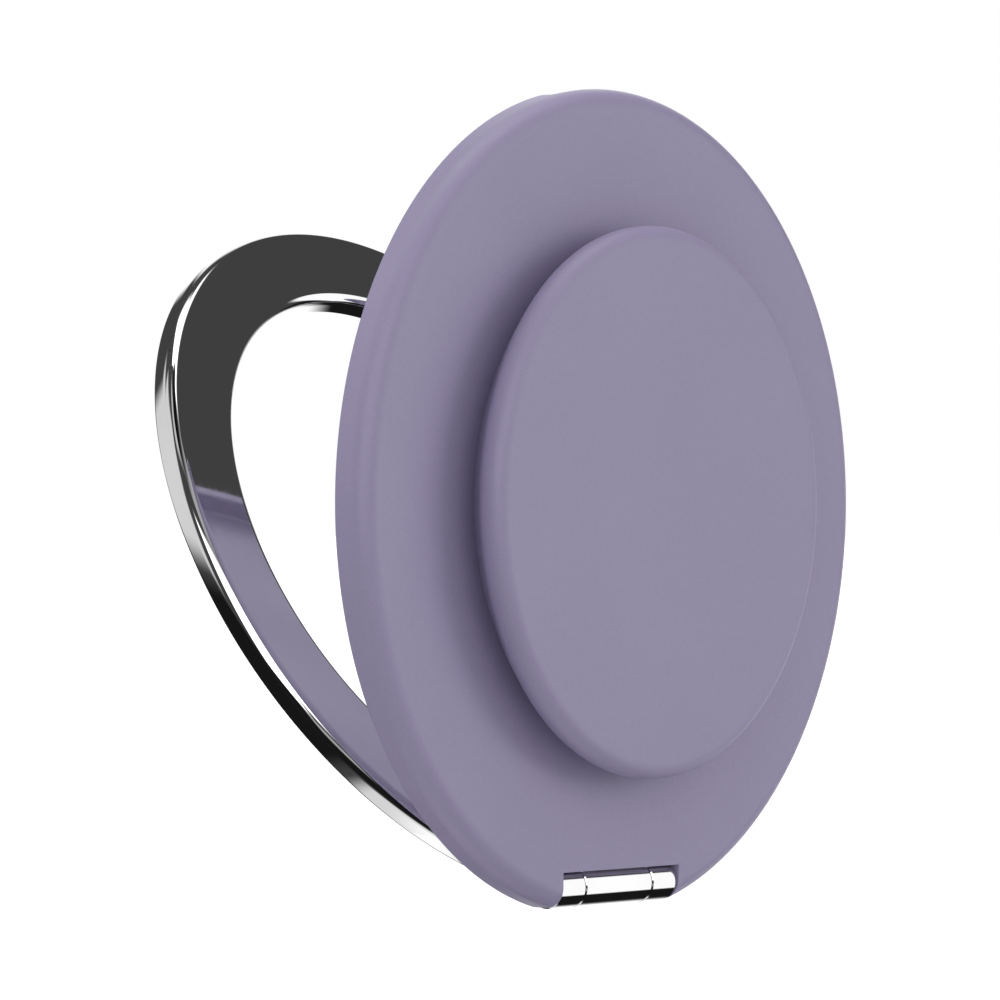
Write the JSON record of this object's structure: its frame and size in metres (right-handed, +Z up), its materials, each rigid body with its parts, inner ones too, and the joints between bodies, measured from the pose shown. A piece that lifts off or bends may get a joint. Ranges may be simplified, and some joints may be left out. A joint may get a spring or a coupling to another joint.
{
  "type": "phone grip stand",
  "caption": "Round soft-touch phone grip with a low undercut knob, hinged at its lower edge to a polished magnetic ring so that it folds out as a stand.",
  "frame": {"origin": "centre of the ring's phone-side pad face, with the ring open as pictured", "axes": "+X along the hinge, +Y from the knob towards the phone side, +Z up the upright grip plate from its hinge to its fingertip scallop"},
  "size_m": [0.06, 0.0349, 0.0593],
  "materials": {
    "soft_purple": "matte silicone with a very fine grain",
    "chrome": "mirror polished",
    "magnet": "nickel plated",
    "pad": "matte",
    "pin_steel": "ground"
  },
  "bodies": {
    "ring": {"ring_frame": "chrome", "ring_magnets": "magnet", "ring_pad": "pad", "hinge_pin": "pin_steel"},
    "grip": {"grip_cover": "soft_purple", "core_plate": "chrome"}
  },
  "joints": [
    {"name": "grip_hinge", "type": "hinge", "parent": "ring", "child": "grip", "pos_m": [0, -0.01538, -0.02316], "axis": [1, 0, 0], "range_deg": [-30, 25]}
  ]
}
